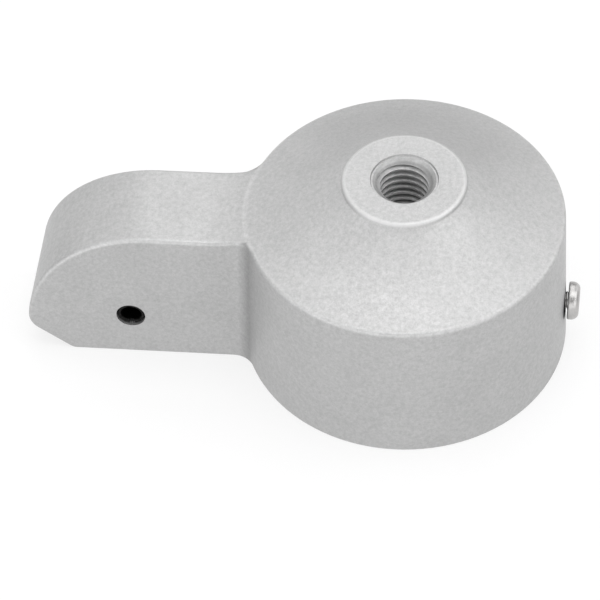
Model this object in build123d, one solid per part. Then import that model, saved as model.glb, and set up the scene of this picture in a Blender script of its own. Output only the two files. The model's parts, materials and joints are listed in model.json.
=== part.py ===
from build123d import *
import os
from math import asin, cos, radians, sin, tan

# A cap-style flagpole truck: a cast cap that fits over a pole's top, with a hollow arm that
# carries one halyard sheave, a threaded boss for a finial and a clamp screw opposite the arm.
# Millimetres. The cap's axis is Z, its open rim lies on z = 0 and the arm points along -X.

# Cap and its pole socket
pole_radius = 30.15          # 2-3/8 in (60.3 mm) pole
pole_clearance = 0.15        # radial, pole to socket
socket_depth = 28.0
socket_edge_break = 0.5
shoulder_wall = 3.7          # skirt wall left at the shoulder
skirt_draft = 2.7            # degrees
crown_wall = 8.0             # socket roof to shoulder height
outer_edge_round = 0.9       # round the crown, the arm and the open rim
facing_depth = 0.5           # metal faced off the open rim after casting

# Bell-shaped crown and its boss
shoulder_slope = 14.5        # degrees, bell surface at the shoulder
bell_radius = 70.0
boss_foot_radius = 13.15
boss_draft = 8.0             # degrees
boss_rise = 0.95             # boss top above the bell at its foot
boss_edge_round = 0.8
boss_foot_round = 0.6

# Finial hole, bored to the crests of an M12 x 1.75 thread
thread_major_radius = 6.0
thread_depth = 0.9
thread_mouth_radius = 7.1

# Halyard sheave
sheave_diameter = 22.0
sheave_width = 11.0
sheave_lip = 0.9
sheave_edge_round = 0.35
groove_depth = 3.6
sheave_running_clearance = 0.08
sheave_side_clearance = 0.4
sheave_floor_clearance = 0.35   # rim of the sheave above the open rim

# Roll pin, 1/4 in
pin_radius = 3.175
pin_wall = 1.1
pin_slit = 1.1
pin_end_chamfer = 0.6
pin_recess = 0.4
pin_seat_clearance = 0.01

# Arm around the sheave
arm_step = 1.15              # shoulder height down to the arm's flat top
bell_overhang = 1.0          # how far the bell runs past the shoulder into the arm's top
arm_draft = 2.4              # degrees, each side
cheek_wall = 6.1             # at the open bottom
web_wall = 1.8               # from the skirt's widest radius to the pocket
inner_halyard_gap = 10.5     # pocket ahead of and behind the sheave
outer_halyard_gap = 7.7
hood_wall = 4.3              # end and roof of the pocket
nose_height = 6.55           # the nose's foremost point above the open rim
toe_above_nose = 0.45        # where the slanted toe starts, above the nose's foremost point
toe_slope = 39.4             # degrees, slanted cut under the tip
toe_round = 4.5
heel_round = 2.7
root_round = 5.0             # arm to skirt
pocket_round = 3.0

# Clamp screw, M4 pan head with a slot
screw_thread_radius = 2.0
screw_thread_pitch = 0.7
screw_thread_depth = 0.4
screw_running_clearance = 0.05
screw_head_radius = 4.15
screw_head_height = 2.5
screw_head_edge_round = 1.5
screw_slot_width = 1.1
screw_slot_depth = 1.2
screw_slot_turn = -50.0      # degrees from horizontal
screw_tip_chamfer = 0.4
screw_height = 11.7
screw_turn_from_arm = -2.5   # degrees about Z from the point opposite the arm
screw_head_gap = 0.3         # head's underside to the skirt at the head's lower edge
screw_tip_reach = 0.03       # tip past the socket's wall

# Sizes that follow
socket_radius = pole_radius + pole_clearance
shoulder_radius = socket_radius + shoulder_wall
shoulder_height = socket_depth + crown_wall
skirt_radius = shoulder_radius + shoulder_height * tan(radians(skirt_draft))
arm_top = shoulder_height - arm_step
pocket_half_width = sheave_width / 2 + sheave_side_clearance
arm_half_width = pocket_half_width + cheek_wall
sheave_radius = sheave_diameter / 2
pocket_start = skirt_radius + web_wall
pin_reach = pocket_start + inner_halyard_gap + sheave_radius
pin_height = sheave_radius + sheave_floor_clearance
pocket_end = pin_reach + sheave_radius + outer_halyard_gap
arm_tip = pocket_end + hood_wall
hood_radius = arm_top - nose_height
hood_centre = (-(arm_tip - hood_radius), nose_height)
toe_height = nose_height + toe_above_nose
thread_minor_radius = thread_major_radius - thread_depth
foot_slope = asin(sin(radians(shoulder_slope)) + (shoulder_radius - boss_foot_radius) / bell_radius)
boss_foot_height = shoulder_height + bell_radius * (cos(radians(shoulder_slope)) - cos(foot_slope))
boss_top = boss_foot_height + boss_rise
boss_top_radius = boss_foot_radius - boss_rise * tan(radians(boss_draft))
screw_seat = skirt_radius - (screw_height - screw_head_radius) * tan(radians(skirt_draft)) + screw_head_gap
screw_length = screw_seat - socket_radius + screw_tip_reach
overshoot = 20.0             # how far cutting solids run past what they cut


def skirt_radius_at(height):
    return skirt_radius - height * tan(radians(skirt_draft))


def arm_half_width_at(height):
    return arm_half_width - height * tan(radians(arm_draft))


def in_elevation(flat_shape):
    """Stands a shape drawn as (x, z) up in the XZ plane."""
    return Plane.XZ * flat_shape


def ring_edges(solid, radius, height):
    """The circular edges about Z of one radius at one height."""
    rings = solid.edges().filter_by(GeomType.CIRCLE)
    return rings.filter_by(lambda e: abs(e.radius - radius) < 1e-3 and abs(e.center().Z - height) < 1e-3)


def below_crown():
    """All that lies under the top surface, which turns about Z: boss, bell and the arm's flat top."""
    slope = asin(sin(radians(shoulder_slope)) - bell_overhang / bell_radius)
    drop = bell_radius * (cos(slope) - cos(radians(shoulder_slope)))
    blend_start = (shoulder_radius + bell_overhang, shoulder_height - drop)
    blend_radius = (arm_step - drop) / (1 - cos(slope))
    blend_end = (blend_start[0] + blend_radius * sin(slope), arm_top)
    boss_foot = (boss_foot_radius, boss_foot_height)
    outer = arm_tip + overshoot
    outline = Polyline((outer, arm_top), (outer, -facing_depth), (0, -facing_depth), (0, boss_top),
                       (boss_top_radius, boss_top), boss_foot)
    outline += TangentArc(blend_start, boss_foot, tangent=(-cos(slope), sin(slope)))
    outline += TangentArc(blend_start, blend_end, tangent=(cos(slope), -sin(slope)))
    outline += Line(blend_end, (outer, arm_top))
    crown = revolve(in_elevation(make_face(outline)), Axis.Z, 360)
    crown = fillet(ring_edges(crown, boss_top_radius, boss_top), boss_edge_round)
    return fillet(ring_edges(crown, boss_foot_radius, boss_foot_height), boss_foot_round)


def cap_and_arm_block():
    """The cap's drafted skirt and the arm's drafted sides, taller than the crown, with rounded roots."""
    low, high = -facing_depth, boss_top + overshoot
    cap = Pos(0, 0, (low + high) / 2) * Cone(skirt_radius_at(low), skirt_radius_at(high), high - low)
    half_low, half_high = arm_half_width_at(low), arm_half_width_at(high)
    section = Polygon((-half_low, low), (half_low, low), (half_high, high), (-half_high, high), align=None)
    arm = extrude(Plane.YZ * section, -(arm_tip + overshoot))
    block = cap + arm
    roots = block.edges().filter_by(lambda e: -skirt_radius < e.center().X < -0.5 * skirt_radius
                                    and e.bounding_box().size.Z > 0.9 * high)
    return fillet(roots, root_round)


def within_hood():
    """All that lies inside the arm's curved nose and slanted toe, seen from the side."""
    low, high = -facing_depth, boss_top + overshoot
    far = skirt_radius + overshoot
    x_centre, z_centre = hood_centre
    outline = Polyline((x_centre, arm_top), (x_centre, high), (far, high), (far, low), (-arm_tip, low),
                       (-arm_tip, z_centre))
    outline += CenterArc(hood_centre, hood_radius, 90, 90)
    slant = tan(radians(toe_slope))
    toe_cut = Polygon((-arm_tip - overshoot, toe_height + overshoot * slant),
                      (-arm_tip - overshoot, -overshoot * slant),
                      (-arm_tip + toe_height / slant + overshoot, -overshoot * slant), align=None)
    side_view = make_face(outline) - toe_cut
    heel = side_view.vertices().sort_by_distance((-arm_tip + (toe_height - low) / slant, low))[0]
    side_view = fillet(heel, heel_round)
    toe = side_view.vertices().sort_by_distance((-arm_tip, toe_height))[0]
    side_view = fillet(toe, toe_round)
    return extrude(in_elevation(side_view), skirt_radius + overshoot, both=True)


def outer_casting():
    """The casting without its hollows, every outer edge rounded."""
    casting = below_crown() & cap_and_arm_block() & within_hood()
    arm_top_edges = casting.edges().filter_by(GeomType.LINE).filter_by(
        lambda e: abs(e.center().Z - arm_top) < 1e-3 and abs(e.center().Y) > 0.5 * arm_half_width_at(arm_top))
    casting = fillet(arm_top_edges, outer_edge_round)
    return casting - Pos(0, 0, -overshoot / 2) * Box(4 * arm_tip, 4 * arm_tip, overshoot)


def pole_socket():
    """The bore over the pole, with a broken edge at its mouth."""
    bore = Pos(0, 0, socket_depth / 2) * Cylinder(socket_radius, socket_depth)
    mouth_radius = socket_radius + 2 * socket_edge_break
    return bore + Cone(mouth_radius, socket_radius, 2 * socket_edge_break)


def sheave_pocket():
    """The hollow in the arm, open below, one wall thickness inside the hood."""
    x_centre, z_centre = hood_centre
    inner_radius = hood_radius - hood_wall
    roof = z_centre + inner_radius
    outline = Polyline((x_centre, roof), (-pocket_start, roof), (-pocket_start, -overshoot),
                       (-pocket_end, -overshoot), (-pocket_end, z_centre))
    outline += CenterArc(hood_centre, inner_radius, 90, 90)
    side_view = make_face(outline)
    inner_corner = side_view.vertices().sort_by_distance((-pocket_start, roof))[0]
    side_view = fillet(inner_corner, pocket_round)
    return extrude(in_elevation(side_view), pocket_half_width, both=True)


def cross_hole(radius):
    """A hole along Y through both cheeks, at the sheave's axis."""
    return Pos(-pin_reach, 0, pin_height) * Rot(90, 0, 0) * Cylinder(radius, 2 * arm_half_width + overshoot)


def opposite_arm(shape):
    """Turns what is made about Z to point out of the skirt at the clamp screw's place."""
    return Rot(0, 0, screw_turn_from_arm) * Pos(0, 0, screw_height) * Rot(0, 90, 0) * shape


def clamp_screw_hole():
    """The hole for the clamp screw, from inside the socket to outside the skirt."""
    start, length = 0.5 * socket_radius, skirt_radius
    hole = Cylinder(screw_thread_radius + screw_running_clearance, length)
    return opposite_arm(Pos(0, 0, start + length / 2) * hole)


def finial_hole():
    """The hole from the boss into the socket, with a countersunk mouth."""
    low, high = socket_depth, boss_top
    core = Pos(0, 0, (low + high) / 2) * Cylinder(thread_minor_radius, high - low + overshoot)
    sink = thread_mouth_radius - thread_minor_radius
    return core + Pos(0, 0, high - sink / 2) * Cone(thread_minor_radius, thread_mouth_radius, sink)


def truck_body():
    body = outer_casting() - pole_socket() - sheave_pocket()
    body -= cross_hole(pin_radius + pin_seat_clearance)
    body -= clamp_screw_hole()
    return body - finial_hole()


def sheave():
    """Grooved pulley on the roll pin, turning about Y."""
    half = sheave_width / 2
    lip = half - sheave_lip
    bore = pin_radius + sheave_running_clearance
    outline = Polyline((-lip, sheave_radius), (-half, sheave_radius), (-half, bore), (half, bore),
                       (half, sheave_radius), (lip, sheave_radius))
    outline += ThreePointArc((lip, sheave_radius), (0, sheave_radius - groove_depth), (-lip, sheave_radius))
    wheel = revolve(make_face(outline), Axis.X, 360)
    rims = wheel.edges().filter_by(GeomType.CIRCLE).filter_by(lambda e: abs(e.radius - sheave_radius) < 1e-3)
    wheel = fillet(rims, sheave_edge_round)
    bores = wheel.edges().filter_by(GeomType.CIRCLE).filter_by(lambda e: abs(e.radius - bore) < 1e-3)
    wheel = chamfer(bores, sheave_edge_round)
    return Pos(-pin_reach, 0, pin_height) * Rot(0, 0, 90) * wheel


def roll_pin():
    """Slit spring pin, pressed through both cheeks, its chamfered ends just below the surface."""
    length = 2 * (arm_half_width_at(pin_height) - pin_recess)
    pin = Cylinder(pin_radius, length)
    pin = chamfer(pin.edges().filter_by(GeomType.CIRCLE), pin_end_chamfer, pin_end_chamfer / 2)
    pin -= Cylinder(pin_radius - pin_wall, length + overshoot)
    pin -= Pos(pin_radius, 0, 0) * Box(2 * pin_wall + pin_radius, pin_slit, length + overshoot)
    return Pos(-pin_reach, 0, pin_height) * Rot(90, 0, 0) * Rot(0, 0, -90) * pin


def screw_groove(low, high):
    """The clamp screw's 60 degree thread groove, wound about Z from one height to another."""
    past = 0.2
    half_floor = screw_thread_pitch / 16
    half_mouth = half_floor + (screw_thread_depth + past) * tan(radians(30))
    floor, mouth = screw_thread_radius - screw_thread_depth, screw_thread_radius + past
    section = Polygon((mouth, -half_mouth), (floor, -half_floor), (floor, half_floor), (mouth, half_mouth),
                      align=None)
    path = Pos(0, 0, low) * Helix(screw_thread_pitch, high - low, screw_thread_radius)
    return sweep(Pos(0, 0, low) * (Plane.XZ * section), path=path, is_frenet=True)


def clamp_screw():
    """Slotted pan head screw, its tip level with the socket's wall."""
    head = Pos(0, 0, screw_head_height / 2) * Cylinder(screw_head_radius, screw_head_height)
    head = fillet(ring_edges(head, screw_head_radius, screw_head_height), screw_head_edge_round)
    shank = Pos(0, 0, -screw_length / 2) * Cylinder(screw_thread_radius, screw_length)
    shank = chamfer(ring_edges(shank, screw_thread_radius, -screw_length), screw_tip_chamfer)
    shank -= screw_groove(-screw_length - screw_thread_pitch, -screw_thread_pitch)
    slot = Pos(0, 0, screw_head_height) * Box(3 * screw_head_radius, screw_slot_width, 2 * screw_slot_depth)
    screw = head + shank - Rot(0, 0, screw_slot_turn) * slot
    return opposite_arm(Pos(0, 0, screw_seat) * screw)


os.makedirs("parts", exist_ok=True)
nodes = {
    "truck_body": truck_body(),
    "sheave": sheave(),
    "roll_pin": roll_pin(),
    "clamp_screw": clamp_screw(),
}
for name, shape in nodes.items():
    export_step(shape, f"parts/{name}.step")
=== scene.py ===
import json
import math

import bpy
from mathutils import Matrix, Vector


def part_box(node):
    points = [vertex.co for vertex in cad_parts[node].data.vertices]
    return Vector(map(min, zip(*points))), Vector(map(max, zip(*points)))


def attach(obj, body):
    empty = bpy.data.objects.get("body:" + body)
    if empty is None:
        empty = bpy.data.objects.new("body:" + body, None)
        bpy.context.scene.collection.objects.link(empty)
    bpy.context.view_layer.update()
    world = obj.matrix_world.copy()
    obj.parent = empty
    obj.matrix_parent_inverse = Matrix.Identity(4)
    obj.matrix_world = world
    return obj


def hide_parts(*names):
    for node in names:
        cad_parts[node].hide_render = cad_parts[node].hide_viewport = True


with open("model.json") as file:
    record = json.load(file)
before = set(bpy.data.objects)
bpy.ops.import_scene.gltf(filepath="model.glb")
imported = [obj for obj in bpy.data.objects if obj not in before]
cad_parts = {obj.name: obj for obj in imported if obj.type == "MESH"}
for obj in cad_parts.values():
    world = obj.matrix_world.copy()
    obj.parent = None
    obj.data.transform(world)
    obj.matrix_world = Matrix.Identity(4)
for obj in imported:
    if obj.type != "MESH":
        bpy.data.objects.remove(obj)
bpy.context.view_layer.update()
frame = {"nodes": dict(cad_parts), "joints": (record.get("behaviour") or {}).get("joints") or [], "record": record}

# A flagpole truck: a cast cap with a hooded arm, its halyard sheave on a roll pin, a tapped hole
# for the finial and a clamp screw. Metres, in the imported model's frame: the cap's axis is Z and
# the arm points along -X.

MM = 0.001

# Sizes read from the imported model
sheave_low, sheave_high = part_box("sheave")
pin_low, pin_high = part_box("roll_pin")
truck_low, truck_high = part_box("truck_body")
axle = (sheave_low + sheave_high) / 2
axle.y = 0.0
sheave_radius = (sheave_high.x - sheave_low.x) / 2
sheave_half_width = (sheave_high.y - sheave_low.y) / 2
pin_radius = (pin_high.x - pin_low.x) / 2
pin_half_length = (pin_high.y - pin_low.y) / 2
boss_top = truck_high.z
skirt_radius = truck_high.y
mounts = {mount["name"]: mount for mount in frame["record"]["mounts"]}
thread_crest = mounts["finial_thread"]["dims"]["r_mm"] * MM
socket_radius = mounts["pole_socket"]["dims"]["r_mm"] * MM
travel = [joint for joint in frame["joints"] if joint["name"] == "clamp_screw_travel"][0]
screw_out = Vector(travel["axis"]).normalized()

# Sizes of the casting that its wear, painted highlights and painted shade follow
skirt_draft = math.radians(2.7)
arm_draft = math.radians(2.4)
shoulder_slope = math.radians(14.5)
shoulder_radius = 34.0 * MM
shoulder_height = 36.0 * MM
arm_half_width = 12.0 * MM
arm_top = 34.85 * MM
hood_radius = 28.3 * MM
hood_centre = Vector((truck_low.x + hood_radius, 0, arm_top - hood_radius))
boss_radius = 13.0 * MM
edge_round = 0.9 * MM

# Finial thread and its mouth
socket_roof = 28.0 * MM
thread_root = 6.0 * MM
thread_pitch = 1.75 * MM
thread_overcut = 0.02 * MM
mouth_radius = 7.1 * MM
mouth_depth = 0.42 * MM

# Sheave
sheave_lip = 0.9 * MM
sheave_round = 0.35 * MM
sheave_bore = pin_radius + 0.08 * MM
groove_depth = 3.6 * MM
hub_radius = sheave_bore + 1.4 * MM
web_radius = sheave_bore + 3.4 * MM
recess_step = 0.3 * MM
recess_depth = 0.25 * MM

# Roll pin
pin_wall = 1.1 * MM
pin_slit = 1.1 * MM

# Clamp screw
screw_height = 11.7 * MM
screw_seat = 35.64 * MM
# Where the screw's hole meets the skirt; the painted contact shadow under the head is centred here
screw_hole_reach = 35.1 * MM
screw_hole = Vector((screw_hole_reach * screw_out.x, screw_hole_reach * screw_out.y, screw_height))
screw_tip_reach = 0.03 * MM
screw_head_radius = 4.15 * MM
screw_head_height = 2.5 * MM
screw_crown_radius = 1.6 * MM
screw_crown_round = 1.5 * MM
screw_rim_round = 0.4 * MM
screw_radius = 2.0 * MM
screw_root = 1.6 * MM
screw_pitch = 0.7 * MM
screw_core_radius = screw_root - 0.05 * MM
screw_core_length = 1.2 * MM
screw_slot_width = 1.1 * MM
screw_slot_depth = 1.2 * MM
screw_slot_turn = math.radians(-50)


def nobody():
    """Leaves nothing selected and nothing active."""
    bpy.ops.object.select_all(action="DESELECT")
    bpy.context.view_layer.objects.active = None


def only(piece):
    """Makes one piece the only one selected and active."""
    nobody()
    piece.select_set(True)
    bpy.context.view_layer.objects.active = piece


def merged_copy(node_name, name):
    """A piece with a CAD node's shape, its loose triangles merged."""
    piece = bpy.data.objects.new(name, frame["nodes"][node_name].data.copy())
    bpy.context.scene.collection.objects.link(piece)
    piece.data.name = name
    piece.data.materials.clear()
    only(piece)
    bpy.ops.mesh.customdata_custom_splitnormals_clear()
    bpy.ops.object.mode_set(mode="EDIT")
    bpy.ops.mesh.select_all(action="SELECT")
    bpy.ops.mesh.remove_doubles(threshold=1e-6)
    bpy.ops.object.mode_set(mode="OBJECT")
    return piece


def drawn_line(name, points):
    """A piece that is one line of edges through points."""
    nobody()
    points = [Vector(point) for point in points]
    bpy.ops.mesh.primitive_plane_add(size=MM)
    piece = bpy.context.object
    piece.name = piece.data.name = name
    bpy.ops.object.mode_set(mode="EDIT")
    bpy.ops.mesh.select_all(action="SELECT")
    bpy.ops.mesh.merge(type="CENTER")
    bpy.ops.transform.translate(value=points[0])
    for here, there in zip(points, points[1:]):
        bpy.ops.mesh.extrude_vertices_move(TRANSFORM_OT_translate={"value": there - here})
    bpy.ops.object.mode_set(mode="OBJECT")
    return piece


def close_up():
    """Merges the edited piece's doubles, turns its faces outwards and leaves edit mode."""
    bpy.ops.mesh.select_all(action="SELECT")
    bpy.ops.mesh.remove_doubles(threshold=1e-6)
    bpy.ops.mesh.normals_make_consistent(inside=False)
    bpy.ops.object.mode_set(mode="OBJECT")


def turned(name, points, centre, axis, steps):
    """A solid turned from a line of points about an axis."""
    piece = drawn_line(name, points)
    bpy.ops.object.mode_set(mode="EDIT")
    bpy.ops.mesh.select_all(action="SELECT")
    bpy.ops.mesh.spin(steps=steps, angle=2 * math.pi, center=centre, axis=axis)
    close_up()
    return piece


def wound(name, points, pitch, low, high, steps):
    """A threaded solid about Z, cut flat at low and high. Its outline is one pitch of thread that
    starts at least two pitches below low, so that the winding is whole all round at low."""
    piece = drawn_line(name, points)
    winding = piece.modifiers.new("winding", "SCREW")
    winding.axis = "Z"
    winding.screw_offset = pitch
    winding.iterations = math.ceil((high - low) / pitch) + 3
    winding.steps = winding.render_steps = steps
    winding.use_merge_vertices = True
    winding.merge_threshold = 1e-6
    bpy.ops.object.modifier_apply(modifier=winding.name)
    bpy.ops.object.mode_set(mode="EDIT")
    for height, above in ((low, False), (high, True)):
        bpy.ops.mesh.select_all(action="SELECT")
        bpy.ops.mesh.bisect(plane_co=(0, 0, height), plane_no=(0, 0, 1), use_fill=True,
                            clear_inner=not above, clear_outer=above, threshold=1e-7)
    close_up()
    return piece


def block(centre, size):
    """A plain block that cuts a slot in a piece."""
    nobody()
    bpy.ops.mesh.primitive_cube_add(size=1, location=centre, scale=size)
    bpy.ops.object.transform_apply(location=True, rotation=True, scale=True)
    return bpy.context.object


def combine(piece, tool, operation):
    """Cuts tool out of piece, or joins the two, and takes the tool away."""
    only(piece)
    step = piece.modifiers.new(operation.lower(), "BOOLEAN")
    step.operation = operation
    step.solver = "EXACT"
    step.object = tool
    bpy.ops.object.modifier_apply(modifier=step.name)
    bpy.data.objects.remove(tool)


def smooth(piece):
    """Smooths a piece, keeping its sharp edges, and keeps its flat faces looking flat."""
    only(piece)
    bpy.ops.object.shade_smooth_by_angle(angle=math.radians(30))
    flat = piece.modifiers.new("flat faces", "WEIGHTED_NORMAL")
    flat.keep_sharp = True
    bpy.ops.object.modifier_apply(modifier=flat.name)
    nobody()


def arc(centre, radius, start, end, count):
    """Points on an arc, as (across, along) pairs, from one angle to another in degrees."""
    angles = [math.radians(start + (end - start) * i / count) for i in range(count + 1)]
    return [(centre[0] + radius * math.cos(a), centre[1] + radius * math.sin(a)) for a in angles]


def thread_outline(crest, root, pitch, start):
    """One pitch of a 60 degree thread as (radius, 0, height), from one crest to the next."""
    run = abs(root - crest) * math.tan(math.radians(30))
    flat = pitch / 8
    next_crest = start + pitch
    return [(crest, 0, start), (crest, 0, next_crest - flat - 2 * run), (root, 0, next_crest - flat - run),
            (root, 0, next_crest - run), (crest, 0, next_crest)]


def about_axle(side, between=()):
    """A closed line beside the axle: the points between, then one side's and their mirror image."""
    other = [(-across, out) for across, out in reversed(side)]
    outline = list(between) + side + other
    outline.append(outline[0])
    return [(axle.x, across, axle.z + out) for across, out in outline]


# Truck: the casting with its finial thread wound into it
def finial_tap():
    lowest = socket_roof - 3.6 * thread_pitch
    outline = thread_outline(thread_crest + thread_overcut, thread_root, thread_pitch, lowest)
    low, high = socket_roof - thread_pitch, boss_top + thread_pitch
    return wound("finial_tap", outline, thread_pitch, low, high, 72)


def countersink():
    above = boss_top + 1 * MM
    wide = mouth_radius + 0.1 * MM
    line = [(0, 0, above), (wide, 0, above), (wide, 0, boss_top + 0.05 * MM),
            (mouth_radius + 0.02 * MM, 0, boss_top - 0.12 * MM),
            (mouth_radius - 0.12 * MM, 0, boss_top - mouth_depth), (0, 0, boss_top - mouth_depth)]
    return turned("countersink", line, (0, 0, 0), (0, 0, 1), 96)


truck = merged_copy("truck_body", "cast_truck")
combine(truck, finial_tap(), "DIFFERENCE")
combine(truck, countersink(), "DIFFERENCE")
smooth(truck)


# Sheave: lips, a round groove, recessed webs and a chamfered bore
def sheave_section():
    half, rim = sheave_half_width, sheave_radius
    chord = half - sheave_lip
    groove_radius = (chord ** 2 + groove_depth ** 2) / (2 * groove_depth)
    sweep = math.degrees(math.asin(chord / groove_radius)) - 1.5
    groove = arc((0, rim - groove_depth + groove_radius), groove_radius, 270 - sweep, 270 + sweep, 24)
    lip_round = sheave_round / 2
    side = arc((chord + lip_round, rim - lip_round), lip_round, 200, 90, 4)[1:]
    side += arc((half - sheave_round, rim - sheave_round), sheave_round, 90, 0, 5)
    side += [(half, web_radius), (half - recess_depth, web_radius - recess_step),
             (half - recess_depth, hub_radius + recess_step), (half, hub_radius),
             (half, sheave_bore + sheave_round), (half - sheave_round, sheave_bore)]
    return about_axle(side, groove)


wheel = turned("halyard_wheel", sheave_section(), axle, (0, 1, 0), 96)
smooth(wheel)


# Roll pin: a slit tube with tapered, rounded ends
def pin_section():
    inner = pin_radius - pin_wall
    tapered_end = ((0.6, 0.0), (0.3, 0.13), (0.12, 0.24), (0.0, 0.38))
    bore_mouth = ((0.0, 0.34), (0.08, 0.24), (0.5, 0.0))
    side = [(pin_half_length - back * MM, pin_radius - down * MM) for back, down in tapered_end]
    side += [(pin_half_length - back * MM, inner + up * MM) for back, up in bore_mouth]
    return about_axle(side)


pin = turned("spring_pin", pin_section(), axle, (0, 1, 0), 64)
slit = block((axle.x, 0, axle.z - pin_radius), (pin_slit, 3 * pin_half_length, 2 * pin_wall))
combine(pin, slit, "DIFFERENCE")
smooth(pin)


# Clamp screw: a slotted pan head on a wound thread, made upright and then laid into the skirt
def screw_section():
    crown_centre = (screw_head_radius - screw_crown_round, screw_head_height - screw_crown_round)
    rim_centre = (screw_head_radius - screw_rim_round, screw_rim_round)
    outline = [(0, screw_head_height), (screw_crown_radius, screw_head_height)]
    outline += arc(crown_centre, screw_crown_round, 80, 0, 10)
    outline += arc(rim_centre, screw_rim_round, 0, -90, 6)
    outline += [(screw_core_radius, 0), (screw_core_radius, -screw_core_length), (0, -screw_core_length)]
    return [(across, 0, height) for across, height in outline]


def screw_thread():
    length = screw_seat - socket_radius + screw_tip_reach
    outline = thread_outline(screw_radius, screw_root, screw_pitch, -length - 3.2 * screw_pitch)
    return wound("screw_thread", outline, screw_pitch, -length, 0.4 * MM, 48)


def screw_slot():
    size = (3 * screw_head_radius, screw_slot_width, 2 * screw_slot_depth)
    slot = block((0, 0, screw_head_height), size)
    slot.data.transform(Matrix.Rotation(screw_slot_turn, 4, "Z"))
    return slot


screw = turned("pan_head_screw", screw_section(), (0, 0, 0), (0, 0, 1), 64)
combine(screw, screw_thread(), "UNION")
combine(screw, screw_slot(), "DIFFERENCE")
screw_facing = Matrix.Rotation(math.atan2(screw_out.y, screw_out.x), 4, "Z")
screw.data.transform(screw_facing @ Matrix.Translation((0, 0, screw_height))
                     @ Matrix.Rotation(math.radians(90), 4, "Y") @ Matrix.Translation((0, 0, screw_seat)))
smooth(screw)


# Nodes
def set_input(tree, socket, value):
    """Sets a socket to a value, or links it to another node's output."""
    if isinstance(value, bpy.types.NodeSocket):
        tree.links.new(value, socket)
    else:
        socket.default_value = value


def node(tree, kind, settings=None, **inputs):
    """A node with its settings. Its inputs go by name, or as i0 and i1 by their order."""
    made = tree.nodes.new("ShaderNode" + kind)
    for name, value in (settings or {}).items():
        setattr(made, name, value)
    for name, value in inputs.items():
        key = int(name[1:]) if name[0] == "i" and name[1:].isdigit() else name.replace("_", " ")
        set_input(tree, made.inputs[key], value)
    return made


def span(tree, value, low, high, at_low, at_high):
    """A value's own range mapped to another, level beyond its ends."""
    return node(tree, "MapRange", Value=value, From_Min=low, From_Max=high,
                To_Min=at_low, To_Max=at_high).outputs[0]


def share(tree, value, low, high):
    """0 at low to 1 at high, level beyond them. Low may be the greater."""
    return span(tree, value, low, high, 0.0, 1.0)


def chain(tree, operation, *terms):
    """One operation worked through two or more terms."""
    total = terms[0]
    for term in terms[1:]:
        total = node(tree, "Math", {"operation": operation}, i0=total, i1=term).outputs[0]
    return total


def product(tree, *terms):
    return chain(tree, "MULTIPLY", *terms)


def mixed_number(tree, factor, a, b):
    """A number mixed from two others."""
    return node(tree, "Mix", {"data_type": "FLOAT"}, Factor=factor, A=a, B=b).outputs[0]


def mixed(tree, factor, a, b, how="MIX"):
    """A colour mixed from two others."""
    made = node(tree, "Mix", {"data_type": "RGBA", "blend_type": how}, Factor=factor)
    set_input(tree, made.inputs[6], a)
    set_input(tree, made.inputs[7], b)
    return made.outputs[2]


def flat_length(tree, across, up):
    """The length of a vector in a plane."""
    vector = node(tree, "CombineXYZ", X=across, Y=up).outputs[0]
    return node(tree, "VectorMath", {"operation": "LENGTH"}, i0=vector).outputs["Value"]


def noise(tree, place, scale, detail, roughness):
    made = node(tree, "TexNoise", Vector=place, Scale=scale, Detail=detail, Roughness=roughness)
    return made.outputs["Fac"]


def ramp(tree, factor, *stops):
    """A colour ramp with stops of (place, colour)."""
    made = node(tree, "ValToRGB", Fac=factor)
    for element, (where, colour) in zip(made.color_ramp.elements, stops[:1] + stops[-1:]):
        element.position, element.color = where, colour
    for where, colour in stops[1:-1]:
        made.color_ramp.elements.new(where).color = colour
    return made.outputs["Color"]


def grey(value, warmth=0.0):
    return (value * (1 + warmth), value, value * (1 - warmth), 1.0)


# Shader groups
def group(name, inputs, outputs):
    """An empty node group with its number sockets, and its input and output nodes."""
    tree = bpy.data.node_groups.new(name, "ShaderNodeTree")
    for label, value in inputs.items():
        socket = tree.interface.new_socket(label, in_out="INPUT", socket_type="NodeSocketFloat")
        socket.default_value = value
    for label in outputs:
        tree.interface.new_socket(label, in_out="OUTPUT", socket_type="NodeSocketFloat")
    return tree, tree.nodes.new("NodeGroupInput"), tree.nodes.new("NodeGroupOutput")


def placed(tree, which, **inputs):
    """A group placed in a material with its own values."""
    made = tree.nodes.new("ShaderNodeGroup")
    made.node_tree = which
    for name, value in inputs.items():
        made.inputs[name].default_value = value
    return made.outputs


def speckle_group():
    """Fine cast speckle: a height for bump, a tone from dark to light and broad patches."""
    tree, given, out = group("cast speckle", {"Grain": 2000.0}, ("Height", "Tone", "Patches"))
    place = node(tree, "TexCoord").outputs["Object"]
    grain = given.outputs["Grain"]
    fine = noise(tree, place, grain, 3.0, 0.65)
    coarse = noise(tree, place, product(tree, grain, 0.38), 2.0, 0.5)
    pits = node(tree, "TexVoronoi", {"feature": "SMOOTH_F1"}, Vector=place, Scale=grain, Smoothness=0.4)
    sand = mixed_number(tree, 0.45, fine, coarse)
    height = mixed_number(tree, 0.3, sand, pits.outputs["Distance"])
    tree.links.new(height, out.inputs["Height"])
    tree.links.new(sand, out.inputs["Tone"])
    tree.links.new(noise(tree, place, 95.0, 3.0, 0.55), out.inputs["Patches"])
    return tree


def edge_group():
    """Where a small piece's outer edges are rubbed, broken up by noise."""
    tree, given, out = group("rubbed edges", {"Breakup": 900.0, "Broken": 0.5}, ("Rubbed",))
    place = node(tree, "TexCoord").outputs["Object"]
    outer = share(tree, node(tree, "NewGeometry").outputs["Pointiness"], 0.515, 0.57)
    patchy = share(tree, noise(tree, place, given.outputs["Breakup"], 3.0, 0.7), 0.40, 0.60)
    left = mixed_number(tree, given.outputs["Broken"], 1.0, patchy)
    tree.links.new(product(tree, outer, left), out.inputs["Rubbed"])
    return tree


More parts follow.
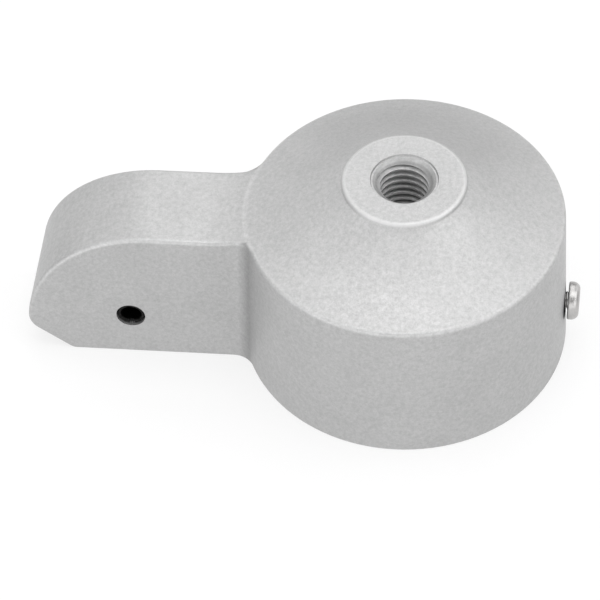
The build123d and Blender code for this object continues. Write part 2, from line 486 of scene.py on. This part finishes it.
def casting_group():
    """Where the casting's outer edges are rubbed bright, partly as painted highlight, where its boss rim gets a
    painted highlight, and where painted shade darkens its arm root, thread groove and the wall under the screw
    head, by its own sizes.
    """
    tree, given, out = group("casting wear and painted light", {"Breakup": 900.0}, ("Rubbed", "Rim", "PaintedShade"))
    place = node(tree, "TexCoord").outputs["Object"]
    x, y, z = node(tree, "SeparateXYZ", Vector=place).outputs
    radius = flat_length(tree, x, y)

    def plus_lean(distance, height, angle):
        return chain(tree, "ADD", distance, product(tree, height, math.tan(angle)))

    # How far a point lies outside the skirt, the arm's sides, the arm's hood and the crown
    off_skirt = chain(tree, "SUBTRACT", plus_lean(radius, z, skirt_draft), skirt_radius)
    aside = node(tree, "Math", {"operation": "ABSOLUTE"}, i0=y).outputs[0]
    off_arm = chain(tree, "SUBTRACT", plus_lean(aside, z, arm_draft), arm_half_width)
    past_centre = chain(tree, "MINIMUM", chain(tree, "SUBTRACT", x, hood_centre.x), 0.0)
    above_centre = chain(tree, "SUBTRACT", z, hood_centre.z)
    off_hood = chain(tree, "SUBTRACT", flat_length(tree, past_centre, above_centre), hood_radius)
    crown_height = shoulder_height + shoulder_radius * math.tan(shoulder_slope)
    off_crown = chain(tree, "SUBTRACT", plus_lean(z, radius, shoulder_slope), crown_height)

    def near_outer(off):
        return share(tree, off, -edge_round, -0.3 * edge_round)

    def not_past(off):
        return share(tree, off, 0.6 * edge_round, 0.2 * edge_round)

    # Rubbed arm and shoulder edges: part real wear, part painted highlight along the rounded edges
    arm_edge = product(tree, near_outer(off_arm), near_outer(off_hood), not_past(off_arm),
                       share(tree, off_skirt, 3 * edge_round, 12 * edge_round))
    shoulder_edge = product(tree, near_outer(off_skirt), near_outer(off_crown), not_past(off_skirt))
    patchy = share(tree, noise(tree, place, given.outputs["Breakup"], 3.0, 0.7), 0.40, 0.58)
    worn = chain(tree, "ADD", product(tree, patchy, 0.7), 0.3)
    rubbed = product(tree, chain(tree, "MAXIMUM", arm_edge, shoulder_edge), worn)
    tree.links.new(rubbed, out.inputs["Rubbed"])

    # Boss rim: a lighter machined edge with a painted highlight on its rounding
    rim = product(tree, share(tree, radius, boss_radius - edge_round, boss_radius - 0.35 * edge_round),
                  share(tree, z, boss_top - edge_round, boss_top - 0.35 * edge_round))
    tree.links.new(rim, out.inputs["Rim"])

    # Painted shade in the concave root corner between the arm and the skirt
    corner_shade = product(tree, share(tree, off_skirt, 2.2 * MM, 0.5 * MM),
                     share(tree, off_arm, 5.5 * MM, 3.0 * MM),
                     share(tree, chain(tree, "MINIMUM", off_skirt, off_arm), -0.1 * MM, 0.25 * MM),
                     share(tree, x, 0.0, -10 * MM))
    # Painted shade down in the finial thread's groove below the mouth
    groove = product(tree, share(tree, radius, thread_crest, thread_root),
                     share(tree, radius, thread_root + 0.2 * MM, thread_root + 0.05 * MM),
                     share(tree, z, boss_top - 0.8 * MM, boss_top - 1.3 * MM))
    # Painted contact shadow on the skirt wall under and around the screw head
    beside_screw = node(tree, "VectorMath", {"operation": "DISTANCE"}, i0=place, i1=screw_hole)
    shadow_under_head = share(tree, beside_screw.outputs["Value"], screw_head_radius + 0.2 * MM,
                       screw_head_radius - 0.2 * MM)
    painted_shade = chain(tree, "MAXIMUM", product(tree, corner_shade, 0.36), product(tree, groove, 0.5), shadow_under_head)
    tree.links.new(painted_shade, out.inputs["PaintedShade"])
    return tree


speckle = speckle_group()
edges = edge_group()
casting = casting_group()


# Materials
def material(name, metallic):
    """A new material with its node tree and its Principled shader."""
    made = bpy.data.materials.new(name)
    made.use_nodes = True
    shader = made.node_tree.nodes["Principled BSDF"]
    shader.inputs["Metallic"].default_value = metallic
    return made, made.node_tree, shader


def surface(tree, shader, colour, rough, strength, height, distance):
    """Links a shader's colour, its roughness and the bump of a height."""
    bump = node(tree, "Bump", Strength=strength, Distance=distance, Height=height)
    tree.links.new(colour, shader.inputs["Base Color"])
    tree.links.new(rough, shader.inputs["Roughness"])
    tree.links.new(bump.outputs[0], shader.inputs["Normal"])


def cast_aluminium():
    made, tree, shader = material("cast aluminium", 1.0)
    cast = placed(tree, speckle, Grain=2900.0)
    # worn holds the casting's rubbed edges and rim, with their painted highlights, and its painted shade
    worn = placed(tree, casting, Breakup=1000.0)
    sand = ramp(tree, cast["Tone"], (0.36, grey(0.465)), (0.5, grey(0.50)), (0.64, grey(0.535)))
    clouds = ramp(tree, cast["Patches"], (0.35, grey(0.96)), (0.65, grey(1.0)))
    colour = mixed(tree, 1.0, sand, clouds, "MULTIPLY")
    # Rubbed edges lightened: part wear, part painted highlight
    colour = mixed(tree, product(tree, worn["Rubbed"], 0.42), colour, grey(0.66))
    # Boss rim lightened: machined edge with painted highlight
    colour = mixed(tree, product(tree, worn["Rim"], 0.9), colour, grey(0.64))
    # Painted shade: darkens the arm root, the thread groove and the wall under the screw head
    colour = mixed(tree, product(tree, worn["PaintedShade"], 0.85), colour, grey(0.10))
    rough = span(tree, cast["Tone"], 0.35, 0.65, 0.66, 0.52)
    surface(tree, shader, colour, rough, 0.45, cast["Height"], 0.05 * MM)
    return made


def black_steel():
    made, tree, shader = material("black oxide steel", 1.0)
    marks = placed(tree, speckle, Grain=3200.0)
    worn = placed(tree, edges, Breakup=1600.0, Broken=1.0)
    oxide = ramp(tree, marks["Tone"], (0.35, grey(0.006)), (0.65, grey(0.016, 0.02)))
    colour = mixed(tree, product(tree, worn["Rubbed"], 0.5), oxide, grey(0.03))
    rough = span(tree, marks["Patches"], 0.3, 0.7, 0.36, 0.52)
    surface(tree, shader, colour, rough, 0.3, marks["Height"], 0.02 * MM)
    return made


def zinc_steel():
    made, tree, shader = material("zinc plated steel", 1.0)
    marks = placed(tree, speckle, Grain=2600.0)
    worn = placed(tree, edges, Breakup=1500.0, Broken=0.6)
    plated = ramp(tree, marks["Tone"], (0.3, grey(0.42, 0.02)), (0.7, grey(0.54, 0.01)))
    colour = mixed(tree, worn["Rubbed"], plated, grey(0.66))
    rough = span(tree, marks["Tone"], 0.3, 0.7, 0.30, 0.44)
    surface(tree, shader, colour, rough, 0.25, marks["Height"], 0.02 * MM)
    return made


def nylon():
    made, tree, shader = material("moulded nylon", 0.0)
    marks = placed(tree, speckle, Grain=1700.0)
    worn = placed(tree, edges, Breakup=700.0, Broken=0.8)
    resin = ramp(tree, marks["Patches"], (0.3, (0.60, 0.585, 0.53, 1)), (0.7, (0.70, 0.685, 0.63, 1)))
    colour = mixed(tree, product(tree, worn["Rubbed"], 0.4), resin, (0.42, 0.40, 0.36, 1))
    rough = span(tree, marks["Tone"], 0.35, 0.65, 0.38, 0.52)
    surface(tree, shader, colour, rough, 0.2, marks["Height"], 0.03 * MM)
    return made


for piece, finish, body, node_name, slot_name in (
        (truck, cast_aluminium(), "truck", "truck_body", "cast_aluminium"),
        (pin, black_steel(), "truck", "roll_pin", "black_steel"),
        (wheel, nylon(), "halyard_sheave", "sheave", "nylon"),
        (screw, zinc_steel(), "screw", "clamp_screw", "zinc_steel")):
    piece.data.materials.append(finish)
    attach(piece, body)
    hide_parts(node_name)


# Floor
def floor_finish():
    made, _, shader = material("white floor", 0.0)
    shader.inputs["Base Color"].default_value = grey(0.25)
    shader.inputs["Roughness"].default_value = 0.9
    shader.inputs["Specular IOR Level"].default_value = 0.0
    shader.inputs["Emission Color"].default_value = grey(1.0)
    shader.inputs["Emission Strength"].default_value = 0.7
    return made


nobody()
bpy.ops.mesh.primitive_plane_add(size=8, location=(0, 0, -0.1 * MM))
floor = bpy.context.object
floor.name = "floor"
floor.data.materials.append(floor_finish())


# Light
def lamp(name, place, power):
    """A soft square light that faces the object's origin."""
    light = bpy.data.lights.new(name, "AREA")
    light.shape = "RECTANGLE"
    light.size = light.size_y = 0.7
    light.energy = power
    lit = bpy.data.objects.new(name, light)
    bpy.context.scene.collection.objects.link(lit)
    lit.location = place
    lit.rotation_euler = (-Vector(place)).to_track_quat("-Z", "Y").to_euler()


for name, place, power in (
        ("top", (0, 0, 1.0), 3.8),
        ("top back", (0, 0.7, 0.75), 2.6),
        ("top left", (-0.7, 0, 0.75), 1.9),
        ("top right", (0.7, 0, 0.75), 3.2),
        ("front", (0, -1.0, 0.3), 2.2),
        ("front left", (-0.7, -0.7, 0.35), 3.3),
        ("front right", (0.7, -0.7, 0.35), 2.5),
        ("back left", (-0.7, 0.7, 0.35), 1.5),
        ("back right", (0.7, 0.7, 0.35), 1.5)):
    lamp(name, place, power)

# The world lights the object less brightly than a low view sees it, past the far floor
world_light = 0.31
world_seen = 0.78
world = bpy.data.worlds.new("studio")
world.use_nodes = True
backdrop = world.node_tree.nodes["Background"]
backdrop.inputs["Color"].default_value = grey(1.0)
seen = node(world.node_tree, "LightPath").outputs["Is Camera Ray"]
strength = span(world.node_tree, seen, 0.0, 1.0, world_light, world_seen)
world.node_tree.links.new(strength, backdrop.inputs["Strength"])
bpy.context.scene.world = world
bpy.context.scene.view_settings.view_transform = "Standard"

# Camera
camera_place = Vector((0.02255, -0.34756, 0.41586))
camera_right = Vector((0.9953, 0.0910, -0.0339))
camera_up = Vector((-0.0473, 0.7595, 0.6488))
camera_ahead = Vector((-0.0848, 0.6441, -0.7602))
camera_data = bpy.data.cameras.new("camera")
camera_data.sensor_width = 36
camera_data.lens = 146.19
camera_data.clip_end = 20
camera = bpy.data.objects.new("camera", camera_data)
bpy.context.scene.collection.objects.link(camera)
camera_turn = Matrix((camera_right, camera_up, -camera_ahead)).transposed().to_quaternion()
camera.matrix_world = Matrix.LocRotScale(camera_place, camera_turn, None)
bpy.context.scene.camera = camera
